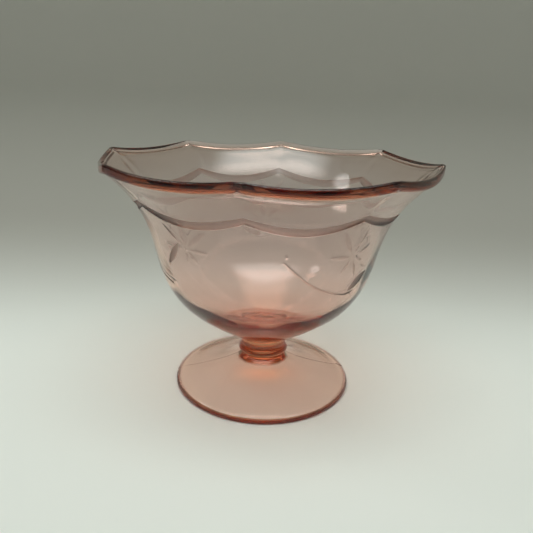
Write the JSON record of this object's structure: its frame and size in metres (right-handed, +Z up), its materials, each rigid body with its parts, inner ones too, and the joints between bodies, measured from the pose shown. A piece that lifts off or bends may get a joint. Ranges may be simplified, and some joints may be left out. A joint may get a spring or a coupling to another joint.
{
  "type": "footed candy dish",
  "caption": "Footed pressed-glass dish with a flared eight-sided bowl, beaded dipping rim, cut swag band, short spool stem and domed foot; holds sweets.",
  "frame": {"origin": "middle of the foot's resting ring, on the surface that the dish stands on", "axes": "+Z up along the dish's axis, with rim corners at azimuths of -7.6 degrees plus whole multiples of 45 degrees"},
  "size_m": [0.1574, 0.1574, 0.1143],
  "materials": {
    "pink_glass": "clear pink glass, fire-polished"
  },
  "bodies": {
    "root": {"bowl": "pink_glass", "stem": "pink_glass", "foot": "pink_glass"}
  },
  "joints": []
}
